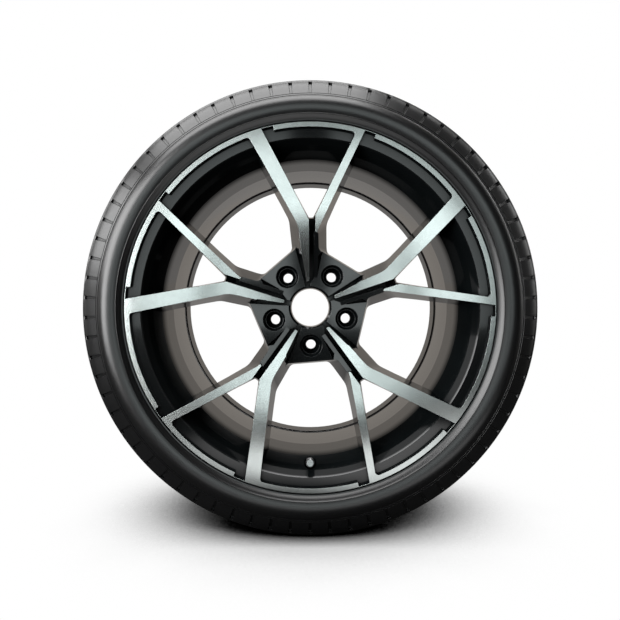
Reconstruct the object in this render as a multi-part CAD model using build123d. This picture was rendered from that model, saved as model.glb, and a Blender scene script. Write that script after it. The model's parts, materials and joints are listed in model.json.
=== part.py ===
from build123d import *
import os
from math import cos, radians, sin, sqrt, tan

# A 19 x 8J cast car wheel with a 245/35 R19 tyre and its valve, in millimetres.
# The spin axis is Y through the middle of the rim: -Y faces out of the car, +Y into it, +Z is up.
# Depths are measured inboard from the lip plane, angles clockwise from a stem as seen from outside.

# Rim section
rim_diameter = 482.6
rim_width = 203.2
flange_height = 17.5
flange_width = 12.0
flange_edge = 4.3
bead_seat_width = 20.0
bead_taper = 5.0
well_depth = 17.3
well_start = 53.0
well_length = 35.0
rim_wall = 4.5
barrel_drop = 12.3
rear_band = 23.0
rear_step = 1.7
rear_flare = 22.0

# Front of the rim: a flat pocket behind the lip, then three cones down into the well
lip_width = 7.0
lip_edge = 0.4
pocket_depth = 4.5
pocket_width = 13.3
mouth_drop = 9.8
mouth_depth = 14.0
crease_drop = 14.6
crease_depth = 22.0
throat_depth = 38.0

# Hub
wheel_offset = 50.0
bolt_circle = 112.0
bolt_count = 5
bolt_angle = 35.0
bolt_hole = 15.0
bolt_seat = 25.0
bolt_seat_depth = 13.0
bolt_mouth = 33.0
bolt_mouth_depth = 7.0
bolt_ledge = 0.7
centre_bore = 57.1
bore_mouth = 63.2
hub_pad_radius = 75.0
pad_depth = 31.0
relief_width = 15.0
relief_length = 27.0
relief_depth = 14.0
relief_radius = 57.0
pad_right_foot = (-7.8, 33.4)
pad_right_top = (-21.6, 85.0)
pad_left_foot = (0.3, 35.9)
pad_left_knee = (12.2, 52.8)
pad_left_top = (18.6, 85.0)
pad_reach = 100.0

# Turned face: flat on the lip, then one hollow arc down to the blade tips
face_flat = 250.0
face_hub_radius = 38.0
face_hub_depth = 27.0

# Floor of the black valleys, the ledge and the foot of each stem, and the back of the spokes
groove_depth = 40.0
valley_radius = 80.0
valley_depth = 37.0
ramp_radius = 116.0
ramp_depth = 32.0
fork_web_radius = 132.0
fork_web_depth = 20.0
rim_floor_depth = 10.0
ledge_left = 5.0
ledge_right = 11.0
ledge_foot = 44.0
ledge_top_depth = 17.0
ledge_bank_radius = 75.0
foot_right = -5.0
foot_left = -12.6
foot_radius = 76.0
foot_slope = 40.5
hub_back_radius = 96.3
hub_back_depth = 55.3
spoke_back_depth = 45.0
spoke_back_radius = 160.0
rim_back_depth = 41.0
disc_edge_drop = 3.3
disc_edge_depth = 25.0
lip_ledge = 1.5

# Each spoke is a Y: a main blade that bends into the left arm, and a second blade for the right arm
main_fork_radius = 141.9
main_fork_angle = -8.35
main_rim_angle = -17.38
main_fork_width = 17.5
main_rim_width = 20.6
side_fork_radius = 137.8
side_fork_angle = 7.17
side_rim_angle = 15.84
side_fork_width = 11.5
side_rim_width = 9.9
arm_draft = 8.5
tip_radius = 38.5
tip_left = 5.6
tip_right = 1.2
blade_right = 1.9
blade_root_width = 14.2
blade_root_radius = 90.0
blade_web_radius = 131.0
side_tip_radius = 108.0
side_tip_left = 7.4
side_tip_right = 9.7
side_tip_slant = 1.5
side_web_radius = 133.0
arm_spill = 4.0
stem_spill = 22.0

# Windows: upper outline at one level, lower outline at the back of the hub
window_level = 12.0
stem_radius = 100.0
stem_left_front = 14.7
stem_left_back = 33.0
stem_left_lean = 9.0
stem_right_front = 9.4
stem_right_back = 29.5
stem_right_lean = 2.6
hub_edge_angle = -40.8
hub_edge_front = 75.5
hub_edge_back = 86.3
fork_front = 125.5
fork_back = 141.0
notch_edge = 1.2
main_notch_end = -11.5
side_notch_end = 20.8
lip_corner = 5.0
bend_radius = 30.0
hub_corner = 8.0
fork_corner = 2.5

# Tyre
tyre_radius = 327.05
section_width = 242.0
tread_width = 186.0
shoulder_drop = 2.85
shoulder_step = 6.55
shoulder_width = 209.6
sidewall_place = 0.538462
sidewall_width = 232.8
bulge_place = 0.25641
rib_radius = 262.0
rib_width = 224.0
rib_gap = 1.8
bead_gap = 0.3
tread_rubber = 16.05
liner_width = 180.0
sidewall_wall = 11.5
bead_toe = 16.7
bead_core_height = 10.0
bead_core_width = 6.0
groove_count = 3
groove_pitch = 43.0
groove_width = 9.5
groove_cut = 7.5
slot_count = 70
slot_width = 5.5
slot_cut = 2.8
slot_lead = 5.5
slot_margin = 1.2
tread_slot_start = 62.0
tread_slot_end = 88.0
tread_slot_cut = 5.0

# Valve, in line with the bottom bolt hole and square to a drilled seat in the cones
valve_angle = 180.0
valve_tilt = 21.0
valve_radius = 226.5
valve_depth = 27.0
valve_hole = 11.5
valve_seat = 17.0
valve_seat_depth = 6.5
valve_web = 4.0
valve_collar = 15.4
collar_height = 4.0
collar_rim = 2.8
valve_bulb = 15.0
bulb_height = 5.0
valve_shank = 10.4
valve_thread = 7.7
valve_fit = 0.1
stem_reach = 22.0
rubber_reach = 9.0
core_bore = 5.2
core_length = 8.0
core_recess = 0.8
pin_bore = 2.0
pin_width = 1.6
pin_cup = 3.2
cup_length = 2.0
pin_travel = 1.5
pin_clear = 1.0
air_bore = 3.2
cap_width = 11.6
cap_bevel = 1.2
cap_crown = 2.2
cap_skirt_gap = 0.6
cap_gap = 0.3

bead_radius = rim_diameter / 2
flange_radius = bead_radius + flange_height
face_y = -(rim_width / 2 + flange_width)
rear_depth = rim_width + 2 * flange_width
hub_depth = -face_y - wheel_offset
well_radius = bead_radius - well_depth
inside_radius = well_radius - rim_wall
lip_radius = flange_radius - lip_edge
shoulder_radius = tyre_radius - shoulder_step
sidewall_radius = rib_radius + (shoulder_radius - rib_radius) * sidewall_place
bulge_radius = rib_radius + (shoulder_radius - rib_radius) * bulge_place
liner_radius = tyre_radius - tread_rubber
lip_inner = flange_radius - lip_width
notch_radius = flange_radius - notch_edge
spoke_turn = 360 / bolt_count
core_radius = centre_bore / 4
past_face = 2.0
past_back = 3.0
past_side = 10.0
past_seat = 30.0
outside = flange_radius + past_side


# Geometry on the face and on the section

def polar(radius, angle):
    return Vector(radius * sin(radians(angle)), radius * cos(radians(angle)))


def turned(point, angle):
    return point.rotate(Axis.Z, -angle)


def meet(line_a, line_b):
    a, b = line_a
    c, d = line_b
    run, other = b - a, d - c
    share = ((c - a).X * other.Y - (c - a).Y * other.X) / (run.X * other.Y - run.Y * other.X)
    return a + run * share


def at_radius(line, radius):
    start, end = line
    along = (end - start).normalized()
    lead = start.dot(along)
    return start + along * (sqrt(lead**2 + radius**2 - start.dot(start)) - lead)


def moved_right(line, distance):
    along = (line[1] - line[0]).normalized()
    step = Vector(along.Y, -along.X) * distance
    return line[0] + step, line[1] + step


def arm_edges(inner, outer, inner_width, outer_width):
    along = (outer - inner).normalized()
    right = Vector(along.Y, -along.X)
    left_edge = (inner - right * (inner_width / 2), outer - right * (outer_width / 2))
    right_edge = (inner + right * (inner_width / 2), outer + right * (outer_width / 2))
    return left_edge, right_edge


def level_line(height):
    return Vector(-1, height), Vector(1, height)


def arc_about_axis(start, end):
    middle = (start + end).normalized() * start.length
    return ThreePointArc(start, middle, end)


def on_face(sketch, depth):
    return Plane((0, face_y + depth, 0), x_dir=(1, 0, 0), z_dir=(0, -1, 0)) * sketch


def around(shape):
    return [Rot(Y=spoke_turn * step) * shape for step in range(bolt_count)]


def section(*points):
    return make_face(Polyline(*[(radius, face_y + depth) for radius, depth in points], close=True))


def face_arc_depth(radius):
    run = face_flat - face_hub_radius
    arc = (run**2 + face_hub_depth**2) / (2 * face_hub_depth)
    return arc - sqrt(arc**2 - (face_flat - radius) ** 2)


# Edges of the two arms, and the sides of the stem at the two window levels

rim_radius = lip_inner - 2.0
main_left, main_right = arm_edges(
    polar(main_fork_radius, main_fork_angle), polar(rim_radius, main_rim_angle),
    main_fork_width, main_rim_width,
)
side_left, side_right = arm_edges(
    polar(side_fork_radius, side_fork_angle), polar(rim_radius, side_rim_angle),
    side_fork_width, side_rim_width,
)


def stem_line(offset, lean):
    start = Vector(offset, stem_radius)
    return start, start + Vector(tan(radians(lean)), 1)


def rounded(outline, corners):
    face = make_face(outline)
    for corner, radius in corners:
        face = fillet(face.vertices().sort_by_distance(corner)[0], radius)
    return face


def large_window(spread, stem_left, stem_right, hub_edge):
    neighbour = -spoke_turn
    arm = moved_right(main_left, -spread)
    far_arm = tuple(turned(point, neighbour) for point in moved_right(side_right, spread))
    stem = stem_line(-stem_left, -stem_left_lean)
    far_stem = tuple(turned(point, neighbour) for point in stem_line(stem_right, stem_right_lean))
    foot = polar(hub_edge, hub_edge_angle)
    hub = foot, foot + polar(1, hub_edge_angle + 90)
    lip = at_radius(arm, lip_inner)
    bend, root = meet(arm, stem), meet(stem, hub)
    far_root, far_bend = meet(hub, far_stem), meet(far_stem, far_arm)
    notch = at_radius(far_arm, notch_radius)
    notch_out = polar(notch_radius, side_notch_end + neighbour)
    notch_in = polar(lip_inner, side_notch_end + neighbour)
    outline = Polyline(lip, bend, root, far_root, far_bend, notch)
    outline += [arc_about_axis(notch, notch_out), Line(notch_out, notch_in), arc_about_axis(notch_in, lip)]
    corners = [(lip, lip_corner), (bend, bend_radius), (root, hub_corner)]
    corners += [(far_root, hub_corner), (far_bend, bend_radius)]
    return rounded(outline, corners)


def small_window(spread, fork):
    arm = moved_right(side_left, -spread)
    far_arm = moved_right(main_right, spread)
    lip = at_radius(arm, lip_inner)
    floor, far_floor = meet(arm, level_line(fork)), meet(far_arm, level_line(fork))
    notch = at_radius(far_arm, notch_radius)
    notch_out = polar(notch_radius, main_notch_end)
    notch_in = polar(lip_inner, main_notch_end)
    outline = Polyline(lip, floor, far_floor, notch)
    outline += [arc_about_axis(notch, notch_out), Line(notch_out, notch_in), arc_about_axis(notch_in, lip)]
    return rounded(outline, [(lip, lip_corner), (floor, fork_corner), (far_floor, fork_corner)])


def window_cut(upper, lower):
    levels = [on_face(upper, -past_face), on_face(upper, window_level), on_face(lower, hub_depth + past_back)]
    return loft(levels, ruled=True)


# Alloy wheel: rim, spoke disc with its valleys and windows, hub

def rim_ring():
    front_heel, rear_heel = flange_width, rear_depth - flange_width
    toe_radius = bead_radius - bead_seat_width * tan(radians(bead_taper))
    well_end = well_start + well_length
    band_radius = bead_radius - barrel_drop - rear_step
    band_end = rear_depth - rear_flare
    band_start = band_end - rear_band
    barrel_end = band_start - rear_step
    return revolve(section(
        (flange_radius, pocket_depth), (flange_radius, front_heel - flange_edge),
        (flange_radius - flange_edge, front_heel), (bead_radius, front_heel),
        (toe_radius, front_heel + bead_seat_width),
        (well_radius, well_start), (well_radius, well_end),
        (bead_radius - barrel_drop + 2 * rim_wall, barrel_end),
        (toe_radius, rear_heel - bead_seat_width), (bead_radius, rear_heel),
        (flange_radius - flange_edge, rear_heel), (flange_radius, rear_heel + flange_edge),
        (flange_radius, rear_depth), (flange_radius - flange_width, rear_depth),
        (band_radius, band_end), (band_radius, band_start), (band_radius + rear_step, barrel_end),
        (inside_radius, well_end), (inside_radius, throat_depth),
        (bead_radius - crease_drop, crease_depth), (bead_radius - mouth_drop, mouth_depth),
        (lip_inner - pocket_width, pocket_depth),
    ), Axis.Y)


def spoke_disc():
    mid = (face_flat + core_radius) / 2
    core_depth = face_arc_depth(core_radius)
    edge_radius = bead_radius - disc_edge_drop
    turned_face = ThreePointArc(
        (face_flat, face_y), (mid, face_y + face_arc_depth(mid)), (core_radius, face_y + core_depth),
    )
    rest = Polyline(*[(radius, face_y + depth) for radius, depth in (
        (core_radius, core_depth), (core_radius, hub_depth), (hub_pad_radius, hub_depth),
        (hub_back_radius, hub_back_depth), (spoke_back_radius, spoke_back_depth),
        (well_radius + rim_wall, rim_back_depth), (edge_radius, disc_edge_depth),
        (edge_radius, rim_floor_depth), (lip_radius, pocket_depth + lip_ledge), (lip_radius, 0),
        (face_flat, 0),
    )])
    return revolve(make_face(turned_face + rest), Axis.Y)


def blade_outlines():
    right_line = Vector(-blade_right, 0), Vector(-blade_right, 1)
    web = meet(main_right, level_line(blade_web_radius))
    main_near, main_far = moved_right(main_left, -arm_spill), moved_right(main_right, arm_spill)
    main = Polyline(
        (-tip_right, tip_radius), meet(right_line, main_right), web, web + Vector(arm_spill, arm_spill),
        at_radius(main_far, outside), at_radius(main_near, outside),
        meet(main_near, level_line(main_fork_radius)),
        (-blade_root_width - stem_spill, blade_root_radius + stem_spill),
        (-blade_root_width, blade_root_radius), (-tip_left, tip_radius), close=True,
    )
    side_line = Vector(side_tip_left, 0), Vector(side_tip_left, 1)
    side_web = meet(side_left, level_line(side_web_radius))
    side_near, side_far = moved_right(side_left, -arm_spill), moved_right(side_right, arm_spill)
    side_foot = side_tip_radius - side_tip_slant
    side = Polyline(
        (side_tip_left, side_tip_radius), (side_tip_right, side_foot),
        (side_tip_right + stem_spill, side_foot), meet(side_far, level_line(main_fork_radius)),
        at_radius(side_far, outside), at_radius(side_near, outside), side_web + Vector(-arm_spill, arm_spill),
        side_web, meet(side_left, side_line), close=True,
    )
    lip = Circle(outside) - Circle(lip_inner - arm_spill)
    spoke = make_face(main) + make_face(side)
    return lip + [Rot(Z=-spoke_turn * step) * spoke for step in range(bolt_count)]


def hub_pad():
    left = [turned(Vector(*point), -spoke_turn) for point in (pad_left_foot, pad_left_knee, pad_left_top)]
    right = Vector(*pad_right_foot), Vector(*pad_right_top)
    return make_face(Polyline(
        (0, 0), *left, at_radius((left[1], left[2]), pad_reach), at_radius(right, pad_reach),
        pad_right_top, pad_right_foot, close=True,
    ))


def stem_ledge(below):
    rise = side_tip_radius - ledge_bank_radius
    outline = make_face(Polyline(
        (ledge_left, ledge_foot), (ledge_left, side_tip_radius), (ledge_right + rise, side_tip_radius),
        (ledge_right, ledge_bank_radius), (ledge_right, ledge_foot), close=True,
    ))
    side = make_face(Polyline(*[(face_y + depth, radius) for depth, radius in (
        (ledge_top_depth, side_tip_radius), (pad_depth, ledge_foot), (below, ledge_foot),
        (below, side_tip_radius),
    )], close=True))
    return extrude(on_face(outline, below), below) & extrude(Plane.YZ * side, ledge_right + rise)


def stem_foot():
    corner = Vector(foot_left, foot_radius)
    heel = corner, corner + Vector(-cos(radians(foot_slope)), sin(radians(foot_slope)))
    inner = Vector(foot_right, 0), Vector(foot_right, 1)
    top = level_line(side_tip_radius)
    levels = []
    for offset, depth in ((stem_left_front, window_level), (stem_left_back, hub_depth + past_back)):
        flank = stem_line(-offset, -stem_left_lean)
        outline = Polyline(
            meet(heel, inner), meet(heel, flank), meet(flank, top), meet(inner, top), close=True,
        )
        levels.append(on_face(make_face(outline), depth))
    return loft(levels, ruled=True)


def valleys():
    top = revolve(section(
        (core_radius - past_face, -past_face), (core_radius - past_face, groove_depth),
        (valley_radius, valley_depth), (ramp_radius, ramp_depth), (fork_web_radius, fork_web_depth),
        (outside, rim_floor_depth), (outside, -past_face),
    ), Axis.Y)
    below = groove_depth + past_back
    blades = extrude(on_face(blade_outlines(), below), below + 2 * past_face)
    pads = around(extrude(on_face(hub_pad(), below), below - pad_depth))
    return top - blades - pads - around(stem_ledge(below)) - around(stem_foot())


def bolt_bore():
    mouth, seat, hole = bolt_mouth / 2, bolt_seat / 2, bolt_hole / 2
    seat_start = pad_depth + bolt_seat_depth
    profile = section(
        (0, pad_depth - past_side), (mouth, pad_depth - past_side), (mouth, pad_depth),
        (seat + bolt_ledge, pad_depth + bolt_mouth_depth), (seat, pad_depth + bolt_mouth_depth),
        (seat, seat_start), (hole, seat_start + seat - hole),
        (hole, hub_depth + past_back), (0, hub_depth + past_back),
    )
    place = polar(bolt_circle / 2, bolt_angle)
    return Pos(place.X, 0, place.Y) * revolve(profile, Axis.Y)


def hub_bore():
    bore, mouth = centre_bore / 2, bore_mouth / 2
    return revolve(section(
        (0, 0), (mouth, 0), (mouth, pad_depth), (bore, pad_depth + mouth - bore),
        (bore, hub_depth + past_back), (0, hub_depth + past_back),
    ), Axis.Y)


def hub_relief():
    place = polar(relief_radius, bolt_angle + spoke_turn / 2)
    oval = Rot(Z=-bolt_angle - spoke_turn / 2) * SlotOverall(relief_length, relief_width)
    oval = Pos(place.X, place.Y) * oval
    return extrude(on_face(oval, hub_depth + past_back), relief_depth + past_back)


valve_frame = Rot(Y=valve_angle) * Pos(0, face_y + valve_depth, valve_radius) * Rot(X=valve_tilt)


def valve_turning(*points):
    """A turned shape on the valve's own axis: radius, and distance from the seat cone into the tyre."""
    return valve_frame * revolve(make_face(Polyline(*points, close=True)), Axis.Y)


def valve_bore():
    web_end = valve_seat_depth + valve_web
    return valve_turning(
        (0, -past_seat), (valve_seat / 2, -past_seat), (valve_seat / 2, valve_seat_depth),
        (valve_hole / 2, valve_seat_depth), (valve_hole / 2, web_end), (valve_seat / 2, web_end),
        (valve_seat / 2, past_seat), (0, past_seat),
    )


def alloy_wheel():
    spread = (hub_depth + past_back - window_level) * tan(radians(arm_draft))
    large = window_cut(
        large_window(0, stem_left_front, stem_right_front, hub_edge_front),
        large_window(spread, stem_left_back, stem_right_back, hub_edge_back),
    )
    small = window_cut(small_window(0, fork_front), small_window(spread, fork_back))
    disc = spoke_disc() - valleys() - around(large) - around(small)
    wheel = disc + rim_ring()
    return wheel - hub_bore() - around(bolt_bore()) - around(hub_relief()) - valve_bore()


# Tyre

def tyre_half():
    heel = rim_width / 2 - bead_gap
    base = bead_radius + bead_gap
    toe = base - bead_toe * tan(radians(bead_taper))
    over = flange_radius + bead_gap
    half = section_width / 2
    crown = tyre_radius - shoulder_drop
    liner_side = half - sidewall_wall
    outer = [
        Polyline((toe, heel - bead_toe), (base, heel), (flange_radius - flange_edge, heel),
                 (over + bead_gap, heel + flange_edge), (over + rib_gap, rib_width / 2),
                 (rib_radius, rib_width / 2)),
        ThreePointArc((rib_radius, rib_width / 2), (bulge_radius, half),
                      (sidewall_radius, sidewall_width / 2)),
        Polyline((sidewall_radius, sidewall_width / 2), (shoulder_radius, shoulder_width / 2),
                 (crown, tread_width / 2), (tyre_radius, 0), (liner_radius, 0),
                 (liner_radius, liner_width / 2), (sidewall_radius, liner_side), (bulge_radius, liner_side),
                 (toe + bead_core_height, heel - bead_toe + bead_core_width), (toe, heel - bead_toe)),
    ]
    return revolve(make_face(Curve() + outer), Axis.Y)


def tread_grooves():
    grooves = []
    for step in range(groove_count):
        middle = (step - (groove_count - 1) / 2) * groove_pitch
        low, high = middle - groove_width / 2, middle + groove_width / 2
        floor = tyre_radius - groove_cut
        above = tyre_radius + past_side
        ring = Polyline((floor, low), (floor, high), (above, high), (above, low), close=True)
        grooves.append(revolve(make_face(ring), Axis.Y))
    return grooves


def slot_ring(*outline):
    slot = extrude(make_face(Polyline(*outline, close=True)), slot_width / 2, both=True)
    return [Rot(Y=360 / slot_count * step) * slot for step in range(slot_count)]


def shoulder_slots():
    inner = Vector(sidewall_radius, sidewall_width / 2)
    outer = Vector(shoulder_radius, shoulder_width / 2)
    along = (outer - inner).normalized()
    out = Vector(-along.Y, along.X)
    start, end = inner + along * slot_lead, outer - along * slot_margin
    return slot_ring(start, end - out * slot_cut, end + out * past_side, start + out * past_side)


def tread_slots():
    floor = tyre_radius - shoulder_drop - tread_slot_cut
    above = tyre_radius + past_side
    return slot_ring((floor, tread_slot_start), (floor, tread_slot_end),
                     (above, tread_slot_end), (above, tread_slot_start))


def tyre():
    half = tyre_half() - shoulder_slots() - tread_slots()
    return half + mirror(half, Plane.XZ) - tread_grooves()


# Valve

stem_tip = -stem_reach
core_start = stem_tip + core_recess
core_end = core_start + core_length
chamber_end = core_end + cup_length + pin_travel + pin_clear


def valve_stem():
    web_end = valve_seat_depth + valve_web
    seat, bulb_start = valve_seat_depth - valve_fit, web_end + valve_fit
    neck = valve_hole / 2 - valve_fit
    bulb_end = bulb_start + bulb_height
    return valve_turning(
        (air_bore / 2, bulb_end), (air_bore / 2, chamber_end), (core_bore / 2, chamber_end),
        (core_bore / 2, stem_tip), (valve_thread / 2, stem_tip), (valve_thread / 2, -rubber_reach),
        (valve_shank / 2, -rubber_reach), (valve_shank / 2, seat - collar_height),
        (valve_collar / 2, seat - collar_rim), (valve_collar / 2, seat), (neck, seat), (neck, bulb_start),
        (valve_bulb / 2, bulb_start), (valve_bulb / 2, bulb_end - bulb_height / 2),
        (valve_shank / 2, bulb_end),
    )


def valve_core():
    wall = core_bore / 2 - valve_fit
    return valve_turning(
        (pin_bore / 2, core_start), (wall, core_start), (wall, core_end), (pin_bore / 2, core_end),
    )


def valve_pin():
    cup_start = core_end + valve_fit
    return valve_turning(
        (0, core_start), (pin_width / 2, core_start), (pin_width / 2, cup_start), (pin_cup / 2, cup_start),
        (pin_cup / 2, cup_start + cup_length), (0, cup_start + cup_length),
    )


def valve_cap():
    rim = -rubber_reach - cap_skirt_gap
    hollow = stem_tip - cap_gap
    top = hollow - cap_crown
    bore = valve_thread / 2 + cap_gap
    half = cap_width / 2
    return valve_turning(
        (0, top), (half - cap_bevel, top), (half, top + cap_bevel), (half, rim), (bore, rim), (bore, hollow),
        (0, hollow),
    )


os.makedirs("parts", exist_ok=True)
pieces = {
    "alloy_wheel": alloy_wheel,
    "tyre": tyre,
    "valve_stem": valve_stem,
    "valve_core": valve_core,
    "valve_pin": valve_pin,
    "valve_cap": valve_cap,
}
for name, make in pieces.items():
    export_step(make(), f"parts/{name}.step")
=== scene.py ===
import json
from math import cos, hypot, pi, radians, sin, sqrt

import bpy
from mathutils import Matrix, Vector


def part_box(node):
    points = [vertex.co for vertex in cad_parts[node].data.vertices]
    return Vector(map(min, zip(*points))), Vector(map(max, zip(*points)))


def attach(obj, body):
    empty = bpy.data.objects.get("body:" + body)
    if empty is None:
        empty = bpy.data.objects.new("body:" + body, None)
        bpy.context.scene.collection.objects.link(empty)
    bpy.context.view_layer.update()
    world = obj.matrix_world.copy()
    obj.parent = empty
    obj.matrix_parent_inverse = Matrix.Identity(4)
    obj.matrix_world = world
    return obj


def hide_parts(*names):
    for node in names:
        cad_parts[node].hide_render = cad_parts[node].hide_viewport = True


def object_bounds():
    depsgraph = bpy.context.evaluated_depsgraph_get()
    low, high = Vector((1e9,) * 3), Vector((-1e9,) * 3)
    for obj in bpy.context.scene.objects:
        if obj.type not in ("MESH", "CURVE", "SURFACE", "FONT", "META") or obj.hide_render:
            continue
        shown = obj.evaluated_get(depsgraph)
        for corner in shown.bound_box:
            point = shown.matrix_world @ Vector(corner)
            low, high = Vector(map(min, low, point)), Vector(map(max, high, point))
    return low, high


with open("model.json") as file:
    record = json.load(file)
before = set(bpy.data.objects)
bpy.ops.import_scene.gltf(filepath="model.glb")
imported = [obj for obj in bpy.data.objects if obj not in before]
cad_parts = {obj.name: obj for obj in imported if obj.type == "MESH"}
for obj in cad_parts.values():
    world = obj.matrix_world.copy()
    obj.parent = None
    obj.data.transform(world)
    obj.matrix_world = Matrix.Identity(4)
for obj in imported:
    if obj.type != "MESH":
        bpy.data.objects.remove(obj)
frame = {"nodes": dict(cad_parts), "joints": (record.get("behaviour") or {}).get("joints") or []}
cad_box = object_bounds()


# The alloy wheel is one aluminium casting, sprayed gloss black all over. The front of the spokes and
# the lip are then skimmed on a lathe down to bright metal, and clear lacquer seals the whole wheel.

mm = 0.001
wheel = frame["nodes"]["alloy_wheel"]
lip_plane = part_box("alloy_wheel")[0].y


def linear(hex_colour):
    parts = [int(hex_colour[i:i + 2], 16) / 255 for i in (1, 3, 5)]
    return [p / 12.92 if p <= 0.04045 else ((p + 0.055) / 1.055) ** 2.4 for p in parts] + [1.0]


def add(tree, kind, inputs=(), **settings):
    node = tree.nodes.new(kind)
    for name, value in settings.items():
        setattr(node, name, value)
    for name, value in dict(inputs).items():
        if isinstance(value, bpy.types.NodeSocket):
            tree.links.new(value, node.inputs[name])
        else:
            node.inputs[name].default_value = value
    return node


def blank_material(name):
    material = bpy.data.materials.new(name)
    material.use_nodes = True
    material.node_tree.nodes.clear()
    return material


# Gloss black enamel under lacquer: near-black with a cold cast where it faces the light, mirror-like
# at a glance, with the faint ripple of sprayed paint and edges that stay slightly round. Its coat and
# reflection are turned down in corners and in a ring deep behind the lip, as painted shade.
enamel = blank_material("gloss_black_enamel_sprayed")
tree = enamel.node_tree
spray_ripple, paint_mottle, paint_edge, corner_reach = 3.0 * mm, 40 * mm, 0.7 * mm, 30 * mm
recess_start, recess_full = 208 * mm, 218 * mm
recess_top, recess_top_full = lip_plane + 5.0 * mm, lip_plane + 7.0 * mm
recess_bottom_full, recess_bottom = lip_plane + 42 * mm, lip_plane + 58 * mm
recess_shaded_gloss = 0.12
place = add(tree, "ShaderNodeTexCoord").outputs["Object"]
ripple = add(tree, "ShaderNodeTexNoise", {"Vector": place, "Scale": 1 / spray_ripple, "Detail": 2.0})
mottle = add(tree, "ShaderNodeTexNoise", {"Vector": place, "Scale": 1 / paint_mottle, "Detail": 3.0})
tone = add(tree, "ShaderNodeMix", {
    0: mottle.outputs["Fac"], 6: linear("#0b0d0e"), 7: linear("#121617")}, data_type="RGBA")
edge = add(tree, "ShaderNodeBevel", {"Radius": paint_edge}, samples=4)
# Painted shade: ambient occlusion over 30 mm turns the coat and reflection down in corners and creases.
opening = add(tree, "ShaderNodeAmbientOcclusion", {"Distance": corner_reach}, samples=6)
shade_dimmed_shine = add(tree, "ShaderNodeMapRange", {
    "Value": opening.outputs["AO"], "From Min": 0.35, "From Max": 0.85})
# Painted shade: in a ring from 208 mm out, 5 to 58 mm behind the lip plane, the gloss drops to 0.12.
span = add(tree, "ShaderNodeVectorMath", {0: place, 1: (1.0, 0.0, 1.0)}, operation="MULTIPLY")
radius = add(tree, "ShaderNodeVectorMath", {0: span.outputs[0]}, operation="LENGTH")
outer = add(tree, "ShaderNodeMapRange", {
    "Value": radius.outputs["Value"], "From Min": recess_start, "From Max": recess_full})
level = add(tree, "ShaderNodeSeparateXYZ", {"Vector": place}).outputs["Y"]
below = add(tree, "ShaderNodeMapRange", {
    "Value": level, "From Min": recess_top, "From Max": recess_top_full})
above = add(tree, "ShaderNodeMapRange", {
    "Value": level, "From Min": recess_bottom, "From Max": recess_bottom_full})
ring = add(tree, "ShaderNodeMath", {
    0: outer.outputs["Result"], 1: below.outputs["Result"]}, operation="MULTIPLY")
recess_shade_mask = add(tree, "ShaderNodeMath", {
    0: ring.outputs[0], 1: above.outputs["Result"]}, operation="MULTIPLY")
recess_shade_dimming = add(tree, "ShaderNodeMapRange", {
    "Value": recess_shade_mask.outputs[0], "To Min": 1.0, "To Max": recess_shaded_gloss})
gloss = add(tree, "ShaderNodeMath", {
    0: shade_dimmed_shine.outputs["Result"], 1: recess_shade_dimming.outputs["Result"]}, operation="MULTIPLY")
half_gloss = add(tree, "ShaderNodeMath", {0: gloss.outputs[0], 1: 0.5}, operation="MULTIPLY")
skin = add(tree, "ShaderNodeBump", {
    "Strength": 0.04, "Distance": 0.1 * mm, "Height": ripple.outputs["Fac"],
    "Normal": edge.outputs["Normal"]})
paint = add(tree, "ShaderNodeBsdfPrincipled", {
    "Base Color": tone.outputs[2], "Roughness": 0.13, "IOR": 1.5,
    "Specular IOR Level": half_gloss.outputs[0],
    "Coat Weight": gloss.outputs[0], "Coat Roughness": 0.06,
    "Normal": skin.outputs["Normal"], "Coat Normal": skin.outputs["Normal"],
})
add(tree, "ShaderNodeOutputMaterial", {"Surface": paint.outputs[0]})

# Aluminium skimmed with a diamond tool, then lacquered: pale silver whose fine rings smear every
# highlight across the cut. The real feed of 0.15 mm is too fine to show, so the rings are drawn five
# times as coarse. The wave pattern repeats once in every tenth of pi at a scale of 1.
turned = blank_material("turned_aluminium_lacquered")
tree = turned.node_tree
ring_pitch, streak_size, metal_edge, wave_repeat = 0.75 * mm, 9 * mm, 0.4 * mm, 0.1 * pi
place = add(tree, "ShaderNodeTexCoord").outputs["Object"]
rings = add(tree, "ShaderNodeTexWave", {
    "Vector": place, "Scale": wave_repeat / ring_pitch, "Distortion": 0.3},
    wave_type="RINGS", rings_direction="Y")
streak = add(tree, "ShaderNodeTexNoise", {"Vector": place, "Scale": 1 / streak_size, "Detail": 4.0})
silver = add(tree, "ShaderNodeMix", {
    0: streak.outputs["Fac"], 6: linear("#d6dddb"), 7: linear("#eaf0ee")}, data_type="RGBA")
edge = add(tree, "ShaderNodeBevel", {"Radius": metal_edge}, samples=4)
cut = add(tree, "ShaderNodeBump", {
    "Strength": 0.1, "Distance": 0.05 * mm, "Height": rings.outputs["Fac"],
    "Normal": edge.outputs["Normal"]})
sweep = add(tree, "ShaderNodeTangent", direction_type="RADIAL", axis="Y")
metal = add(tree, "ShaderNodeBsdfPrincipled", {
    "Base Color": silver.outputs[2], "Metallic": 1.0, "Roughness": 0.22, "Anisotropic": 0.75,
    "Normal": cut.outputs["Normal"], "Tangent": sweep.outputs["Tangent"],
})
add(tree, "ShaderNodeOutputMaterial", {"Surface": metal.outputs[0]})

# The skimmed surface: flat on the lip, then one hollow arc down to the tips of the blades.
face_flat, face_tip, face_dish = 250 * mm, 38 * mm, 27 * mm
face_arc = ((face_flat - face_tip) ** 2 + face_dish ** 2) / (2 * face_dish)
skim_depth, facing_front = 0.6 * mm, -0.9


def is_turned(polygon):
    reach = hypot(polygon.center.x, polygon.center.z)
    inside = max(face_flat - reach, 0)
    depth = face_arc - sqrt(face_arc ** 2 - inside ** 2)
    near = abs(polygon.center.y - lip_plane - depth) < skim_depth
    return polygon.normal.y < facing_front and near


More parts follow.
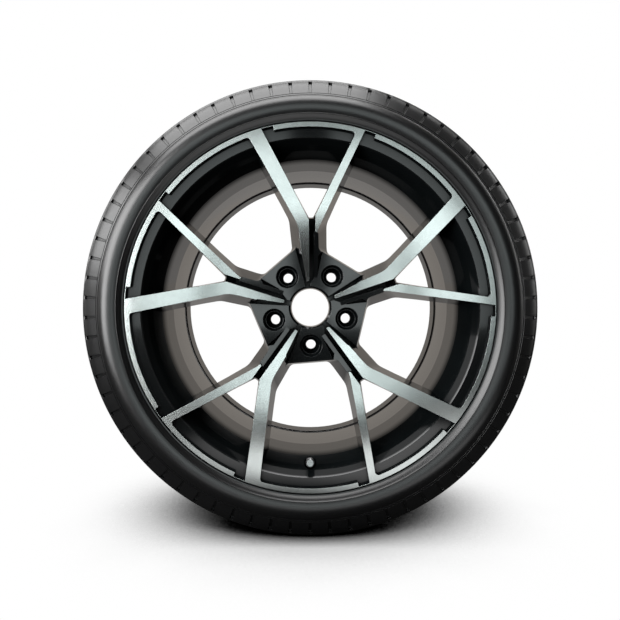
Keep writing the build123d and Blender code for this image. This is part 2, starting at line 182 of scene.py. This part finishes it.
wheel.data.materials.clear()
wheel.data.materials.append(enamel)
wheel.data.materials.append(turned)
for polygon in wheel.data.polygons:
    polygon.material_index = 1 if is_turned(polygon) else 0


# The tyre is one moulded and cured piece of black rubber over cords. Its beads sit on the rim, two
# ribs guard the lip, and shallow slots cross the shoulder beside a tread with three grooves round it.

# Sizes in millimetres. A point of the section is its radius and its distance from the middle plane.
bead_line = [(240.2, 84.6), (241.6, 101.3), (254.5, 101.3), (258.9, 104.6), (259.5, 106.6), (260.2, 110.2)]
guard_line = [(260.6, 111.5), (261.2, 112.2), (261.9, 112.4), (262.6, 112.6)]
bulge_middle, bulge_level, bulge_round = 279.83, 99.28, 21.91
rib_radius, rib_width, rib_height = 268.4, 1.2, 0.6
wall_radii = [
    264.4, 266.2, rib_radius - rib_width / 2, rib_radius, rib_radius + rib_width / 2, 270.8, 272.8,
    275.0, 277.4, 280.0, 282.4, 284.6, 286.6, 288.4, 290.0, 291.4, 292.5,
]
shoulder_start, shoulder_edge = Vector((293.5, 116.4)), Vector((320.5, 104.8))
line_width, line_depth, line_gap = 1.0, 0.9, 3.2
slot_count, slot_lead, slot_margin = 70, 5.5, 1.4
slot_depth, slot_inner_width, slot_outer_width, slot_wall = 2.6, 3.2, 5.0, 0.5
slot_floor = ((0, 0.35), (0.25, 0.65), (0.5, 0.85), (0.75, 0.95), (1, 1), (1.03, 0.15))
shoulder_sag, sag_start = 1.2, 0.5
edge_line = [(321.0, 103.2), (322.2, 102.3), (323.0, 99.8), (323.6, 97.0), (324.2, 92.5)]
tread_radius, tread_fall = 327.05, 2.85 / 93
tread_slot_start, tread_slot_end, tread_slot_depth, tread_slot_wall = 88.0, 62.0, 5.0, 0.6
groove_pitch, groove_width, groove_depth, groove_draft = 43.0, 9.5, 7.5, 0.8
liner_line = [(311.0, 90.0), (293.5, 109.5), (277.0, 109.5), (249.9, 90.6)]
block_steps = (0.3, 0.5, 0.7)
sharp_angle = radians(32)


def bulge(radius):
    """The sidewall's round, with the thin rib that guards the lip."""
    rise = rib_height if radius == rib_radius else 0.0
    return radius, bulge_level + sqrt(bulge_round ** 2 - (radius - bulge_middle) ** 2) + rise


def crown(side, cut=0.0):
    return tread_radius - tread_fall * side - cut, side


# Rows of the section, from bead to middle: radius, side, and the step down inside a slot.
along = (shoulder_edge - shoulder_start).normalized()
out = Vector((-along.y, along.x))
rows = [(r, s, 0, 0) for r, s in bead_line + guard_line + [bulge(radius) for radius in wall_radii]]
for middle in (line_width, line_width + line_gap):
    for step, cut in ((-line_width / 2, 0), (0, line_depth), (line_width / 2, 0)):
        rows.append((*(shoulder_start + along * (middle + step) - out * cut), 0, 0))
slot_length = (shoulder_edge - shoulder_start).length - slot_lead - slot_margin
for share, cut in slot_floor:
    sag = shoulder_sag * max(share - sag_start, 0) ** 2 / (1 - sag_start) ** 2
    spot = shoulder_start + along * (slot_lead + slot_length * share) - out * sag
    rows.append((*spot, *(-out * slot_depth * cut)))
rows += [(r, s, 0, 0) for r, s in edge_line]
rows += [(*crown(tread_slot_start + tread_slot_wall), 0, 0), (*crown(tread_slot_start), -tread_slot_depth, 0)]
rows += [(*crown(tread_slot_end), -tread_slot_depth, 0), (*crown(tread_slot_end - tread_slot_wall), 0, 0)]
for middle in (groove_pitch, 0.0):
    rows.append((*crown(middle + groove_width / 2), 0, 0))
    rows.append((*crown(middle + groove_width / 2 - groove_draft, groove_depth), 0, 0))
    if middle:
        rows.append((*crown(middle - groove_width / 2 + groove_draft, groove_depth), 0, 0))
        rows.append((*crown(middle - groove_width / 2), 0, 0))
liner = [(r, s, 0, 0) for r, s in liner_line]
section = [(r, -s, dr, -ds) for r, s, dr, ds in rows] + rows[::-1] + liner[::-1]
section += [(r, -s, dr, -ds) for r, s, dr, ds in liner]


def slot_half(radius):
    """Half the slot's width, which grows towards the tread."""
    inner, outer = shoulder_start.x + slot_lead, shoulder_edge.x
    share = min(max((radius - inner) / (outer - inner), 0), 1)
    return (slot_inner_width + (slot_outer_width - slot_inner_width) * share) / 2


# Columns round the tyre: four on the walls of each slot, three across the block between two slots.
columns = []
for slot in range(slot_count):
    middle = 2 * pi * slot / slot_count
    for side, wall, cut in ((-1, 1, 0), (-1, 0, 1), (1, 0, 1), (1, 1, 0)):
        columns.append((middle, side, wall, cut))
    for share in block_steps:
        columns.append((middle + 2 * pi / slot_count * share, 0, 0, 0))

points, faces = [], []
for turn, side, wall, cut in columns:
    for radius, y, radius_step, y_step in section:
        angle = turn + side * (slot_half(radius) + wall * slot_wall) / tread_radius
        sunk = (radius + cut * radius_step) * mm
        points.append((sunk * sin(angle), (y + cut * y_step) * mm, sunk * cos(angle)))
height = len(section)
for column in range(len(columns)):
    here, there = column * height, (column + 1) % len(columns) * height
    for row in range(height):
        upper = (row + 1) % height
        faces.append((here + row, here + upper, there + upper, there + row))
mesh = bpy.data.meshes.new("tyre_moulding")
mesh.from_pydata(points, [], faces)
mesh.update()

# Cured black rubber: dark grey with a soft satin sheen from the mould, uneven where wax has bloomed.
# The sheen fades in the slots and grooves, where little light gets in.
rubber = blank_material("cured_rubber_moulded")
tree = rubber.node_tree
mould_grain, bloom_patch, groove_reach = 1.2 * mm, 60 * mm, 2.4 * mm
place = add(tree, "ShaderNodeTexCoord").outputs["Object"]
grain = add(tree, "ShaderNodeTexNoise", {"Vector": place, "Scale": 1 / mould_grain, "Detail": 3.0})
bloom = add(tree, "ShaderNodeTexNoise", {"Vector": place, "Scale": 1 / bloom_patch, "Detail": 4.0})
black = add(tree, "ShaderNodeMix", {
    0: bloom.outputs["Fac"], 6: linear("#0d0d0e"), 7: linear("#131314")}, data_type="RGBA")
satin = add(tree, "ShaderNodeMapRange", {
    "Value": bloom.outputs["Fac"], "To Min": 0.3, "To Max": 0.36})
skin = add(tree, "ShaderNodeBump", {
    "Strength": 0.08, "Distance": 0.1 * mm, "Height": grain.outputs["Fac"]})
opening = add(tree, "ShaderNodeAmbientOcclusion", {"Distance": groove_reach}, samples=6)
shade_dimmed_shine = add(tree, "ShaderNodeMapRange", {
    "Value": opening.outputs["AO"], "From Min": 0.45, "From Max": 0.8})
half_shine = add(tree, "ShaderNodeMath", {0: shade_dimmed_shine.outputs["Result"], 1: 0.5}, operation="MULTIPLY")
cured = add(tree, "ShaderNodeBsdfPrincipled", {
    "Base Color": black.outputs[2], "Roughness": satin.outputs["Result"], "IOR": 1.52,
    "Specular IOR Level": half_shine.outputs[0],
    "Coat Weight": shade_dimmed_shine.outputs["Result"], "Coat Roughness": 0.3,
    "Normal": skin.outputs["Normal"], "Coat Normal": skin.outputs["Normal"],
})
add(tree, "ShaderNodeOutputMaterial", {"Surface": cured.outputs[0]})

tyre = bpy.data.objects.new("tyre_moulded", mesh)
bpy.context.scene.collection.objects.link(tyre)
mesh.materials.append(rubber)
mesh.shade_smooth()
mesh.set_sharp_from_angle(angle=sharp_angle)
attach(tyre, "wheel")
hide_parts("tyre")


# The valve is a brass tube moulded into a rubber body that snaps into the drilled seat. A cartridge
# with a sprung pin is screwed into it, and a plated cap screws over the end.

# Turned brass: a warm yellow metal, clouded by handling.
brass = blank_material("turned_brass")
tree = brass.node_tree
stain_size = 2 * mm
place = add(tree, "ShaderNodeTexCoord").outputs["Object"]
stain = add(tree, "ShaderNodeTexNoise", {"Vector": place, "Scale": 1 / stain_size, "Detail": 3.0})
gold = add(tree, "ShaderNodeMix", {
    0: stain.outputs["Fac"], 6: linear("#a98b4c"), 7: linear("#c9ab68")}, data_type="RGBA")
yellow_metal = add(tree, "ShaderNodeBsdfPrincipled", {
    "Base Color": gold.outputs[2], "Metallic": 1.0, "Roughness": 0.3})
add(tree, "ShaderNodeOutputMaterial", {"Surface": yellow_metal.outputs[0]})
for name in ("valve_core", "valve_pin"):
    node = frame["nodes"][name]
    node.data.materials.clear()
    node.data.materials.append(brass)

# Brass plated with nickel: a cool pale metal with a soft gleam, slightly cloudy.
plate = blank_material("nickel_plated_brass")
tree = plate.node_tree
cloud_size = 3 * mm
place = add(tree, "ShaderNodeTexCoord").outputs["Object"]
cloud = add(tree, "ShaderNodeTexNoise", {"Vector": place, "Scale": 1 / cloud_size, "Detail": 2.0})
nickel = add(tree, "ShaderNodeMix", {
    0: cloud.outputs["Fac"], 6: linear("#c4c6c6"), 7: linear("#dcdede")}, data_type="RGBA")
white_metal = add(tree, "ShaderNodeBsdfPrincipled", {
    "Base Color": nickel.outputs[2], "Metallic": 1.0, "Roughness": 0.25})
add(tree, "ShaderNodeOutputMaterial", {"Surface": white_metal.outputs[0]})
cap = frame["nodes"]["valve_cap"]
cap.data.materials.clear()
cap.data.materials.append(plate)

# The part of the stem under the cap is bare brass, and the rest is covered by the rubber body.
stem = frame["nodes"]["valve_stem"]
stem.data.materials.clear()
stem.data.materials.append(rubber)
stem.data.materials.append(brass)
inward = -Vector([joint["axis"] for joint in frame["joints"] if joint["name"] == "cap_off"][0])
skirt_end = max(vertex.co.dot(inward) for vertex in cap.data.vertices)
for polygon in stem.data.polygons:
    polygon.material_index = 1 if polygon.center.dot(inward) < skirt_end else 0


# The wheel stands on a studio floor which glows white to the eye, with a painted soft shadow under the
# tyre. Gloss surfaces mirror only a painted pool of light on it in front and a painted warm pale part behind.

reach, ground = 6.0, cad_box[0].z
floor_mesh = bpy.data.meshes.new("floor")
floor_mesh.from_pydata(
    [(-reach, -reach, ground), (reach, -reach, ground), (reach, reach, ground), (-reach, reach, ground)],
    [], [(0, 1, 2, 3)])
floor = bpy.data.objects.new("floor", floor_mesh)
bpy.context.scene.collection.objects.link(floor)

# Matt floor paint: even white to the eye, and mid grey in the light it sends back to the wheel.
white_floor = blank_material("matt_floor_glow_painted_shadow")
tree = white_floor.node_tree
shadow_reach = 0.3
pool_stretch, pool_middle = (0.5, 1.0, 1.0), (0.07, -0.5, ground)
pool_edge, pool_full, pool_dark = 0.26, 0.15, 0.03
back_start, back_full, back_level = 0.1, 0.4, 0.32
path = add(tree, "ShaderNodeLightPath")
# Painted shadow: ambient occlusion darkens the floor's white glow near the tyre.
shade = add(tree, "ShaderNodeAmbientOcclusion", {"Distance": shadow_reach}, samples=16)
soft = add(tree, "ShaderNodeMapRange", {
    "Value": shade.outputs["AO"], "From Min": 0.23, "From Max": 0.78}, interpolation_type="SMOOTHSTEP")
glow = add(tree, "ShaderNodeEmission", {"Color": soft.outputs["Result"]})
grey = add(tree, "ShaderNodeBsdfDiffuse", {"Color": linear("#4a4a4a")})
# Painted reflection: gloss rays see a pool of light in front and a warm pale glow behind, both dimmed by the
# painted shadow.
spot = add(tree, "ShaderNodeTexCoord").outputs["Object"]
wide = add(tree, "ShaderNodeVectorMath", {0: spot, 1: pool_stretch}, operation="MULTIPLY")
far = add(tree, "ShaderNodeVectorMath", {0: wide.outputs[0], 1: pool_middle}, operation="DISTANCE")
pool = add(tree, "ShaderNodeMapRange", {
    "Value": far.outputs["Value"], "From Min": pool_edge, "From Max": pool_full, "To Min": pool_dark},
    interpolation_type="SMOOTHSTEP")
far_side = add(tree, "ShaderNodeSeparateXYZ", {"Vector": spot}).outputs["Y"]
back = add(tree, "ShaderNodeMapRange", {
    "Value": far_side, "From Min": back_start, "From Max": back_full, "To Max": back_level},
    interpolation_type="SMOOTHSTEP")
both = add(tree, "ShaderNodeMath", {
    0: pool.outputs["Result"], 1: back.outputs["Result"]}, operation="MAXIMUM")
pale = add(tree, "ShaderNodeMath", {0: both.outputs[0], 1: soft.outputs["Result"]}, operation="MULTIPLY")
tint = add(tree, "ShaderNodeMix", {
    0: back.outputs["Result"], 6: linear("#ffffff"), 7: linear("#fff0e0")}, data_type="RGBA")
pooled = add(tree, "ShaderNodeEmission", {"Color": tint.outputs[2], "Strength": pale.outputs[0]})
mirrored = add(tree, "ShaderNodeMath", {
    0: path.outputs["Is Glossy Ray"], 1: path.outputs["Is Transmission Ray"]}, operation="MAXIMUM")
lit = add(tree, "ShaderNodeMixShader", {0: mirrored.outputs[0], 1: grey.outputs[0], 2: pooled.outputs[0]})
seen = add(tree, "ShaderNodeMixShader", {
    0: path.outputs["Is Camera Ray"], 1: lit.outputs[0], 2: glow.outputs[0]})
add(tree, "ShaderNodeOutputMaterial", {"Surface": seen.outputs[0]})
floor_mesh.materials.append(white_floor)


# The backdrop is white to the eye and a faint fill on the object. Gloss surfaces mirror two cool
# panels in front, with a dark upright gap between them, and a warm pale backdrop behind.

world = bpy.data.worlds.new("white_studio")
bpy.context.scene.world = world
world.use_nodes = True
tree = world.node_tree
tree.nodes.clear()
fill_level, panel_level, back_dark, back_pale = 0.1, 1.7, 0.03, 0.34
panel_edge, panel_full = -0.87, -0.96
gap_edge, gap_full = 0.065, 0.03
waist_edge, waist_full = 0.01, 0.045
back_from, back_to, warm_from, warm_to = -0.25, 0.2, 0.0, 0.5
path = add(tree, "ShaderNodeLightPath")
way = add(tree, "ShaderNodeSeparateXYZ", {"Vector": add(tree, "ShaderNodeTexCoord").outputs["Generated"]})
fill = add(tree, "ShaderNodeBackground", {"Color": linear("#ffffff"), "Strength": fill_level})
on_panel = add(tree, "ShaderNodeMapRange", {
    "Value": way.outputs["Y"], "From Min": panel_edge, "From Max": panel_full},
    interpolation_type="SMOOTHSTEP")
aside = add(tree, "ShaderNodeMath", {0: way.outputs["X"]}, operation="ABSOLUTE")
near_middle = add(tree, "ShaderNodeMapRange", {
    "Value": aside.outputs[0], "From Min": gap_edge, "From Max": gap_full},
    interpolation_type="SMOOTHSTEP")
lift = add(tree, "ShaderNodeMath", {0: way.outputs["Z"]}, operation="ABSOLUTE")
off_waist = add(tree, "ShaderNodeMapRange", {
    "Value": lift.outputs[0], "From Min": waist_edge, "From Max": waist_full},
    interpolation_type="SMOOTHSTEP")
gap = add(tree, "ShaderNodeMath", {
    0: near_middle.outputs["Result"], 1: off_waist.outputs["Result"]}, operation="MULTIPLY")
lit_share = add(tree, "ShaderNodeMath", {0: 1.0, 1: gap.outputs[0]}, operation="SUBTRACT")
panels = add(tree, "ShaderNodeMath", {
    0: on_panel.outputs["Result"], 1: lit_share.outputs[0]}, operation="MULTIPLY")
front = add(tree, "ShaderNodeMath", {0: panels.outputs[0], 1: panel_level}, operation="MULTIPLY")
front_light = add(tree, "ShaderNodeBackground", {"Color": linear("#eaf4f4"), "Strength": front.outputs[0]})
behind = add(tree, "ShaderNodeMapRange", {
    "Value": way.outputs["Y"], "From Min": back_from, "From Max": back_to,
    "To Min": back_dark, "To Max": back_pale}, interpolation_type="SMOOTHSTEP")
deep = add(tree, "ShaderNodeMapRange", {
    "Value": way.outputs["Y"], "From Min": warm_from, "From Max": warm_to})
warm = add(tree, "ShaderNodeMix", {
    0: deep.outputs["Result"], 6: linear("#f6f8f8"), 7: linear("#fbf2e8")}, data_type="RGBA")
back_light = add(tree, "ShaderNodeBackground", {
    "Color": warm.outputs[2], "Strength": behind.outputs["Result"]})
mirror = add(tree, "ShaderNodeAddShader", {0: front_light.outputs[0], 1: back_light.outputs[0]})
backdrop = add(tree, "ShaderNodeBackground", {"Color": linear("#ffffff"), "Strength": 1.0})
glossy = add(tree, "ShaderNodeMath", {
    0: path.outputs["Is Glossy Ray"], 1: path.outputs["Is Transmission Ray"]}, operation="MAXIMUM")
lit = add(tree, "ShaderNodeMixShader", {0: glossy.outputs[0], 1: fill.outputs[0], 2: mirror.outputs[0]})
shown = add(tree, "ShaderNodeMixShader", {
    0: path.outputs["Is Camera Ray"], 1: lit.outputs[0], 2: backdrop.outputs[0]})
add(tree, "ShaderNodeOutputWorld", {"Surface": shown.outputs[0]})


# Soft boxes are fabric-fronted lamps on stands. One lies along the top of the tyre, two stand at its
# left, and two behind pick out the right edge and the inside of the barrel. Places and sizes in metres.


def soft_box(name, place, aim, width, height, power):
    lamp = bpy.data.lights.new(name, "AREA")
    lamp.shape = "RECTANGLE"
    lamp.size, lamp.size_y, lamp.energy = width, height, power
    box = bpy.data.objects.new(name, lamp)
    box.location = place
    box.rotation_euler = (Vector(aim) - Vector(place)).to_track_quat("-Z", "Y").to_euler()
    bpy.context.scene.collection.objects.link(box)


soft_box("left_box", (-1.34, -1.2, 0.33), (0, 0, 0), 1.0, 1.4, 25)
soft_box("side_box", (-1.7, -0.5, 0.75), (0, -0.1, 0.75), 0.6, 0.9, 6)
soft_box("top_box", (-0.55, -0.45, 1.55), (-0.55, 0, 0), 2.0, 0.9, 19)
soft_box("rim_box", (1.7, 0.6, 0.7), (0, 0, 0), 0.6, 1.4, 10)
soft_box("back_box", (0.3, 0.85, 1.5), (0, 0, 0), 1.8, 0.6, 16)


# The camera stands close, square to the front of the wheel and level with its centre. The lens is
# shifted so that the centre falls where it does in the photograph.

photo_side, focal_pixels = 620, 399.6
axis_right, axis_up = 0.2, 2.5
stand_off = 555 * mm
camera = bpy.data.cameras.new("camera")
camera.sensor_width = 36.0
camera.lens = camera.sensor_width * focal_pixels / photo_side
camera.shift_x, camera.shift_y = -axis_right / photo_side, -axis_up / photo_side
camera.clip_start = 0.01
viewer = bpy.data.objects.new("camera", camera)
viewer.location = (0, lip_plane - stand_off, 0)
viewer.rotation_euler = (pi / 2, 0, 0)
bpy.context.scene.collection.objects.link(viewer)
bpy.context.scene.camera = viewer
bpy.context.scene.view_settings.view_transform = "Standard"
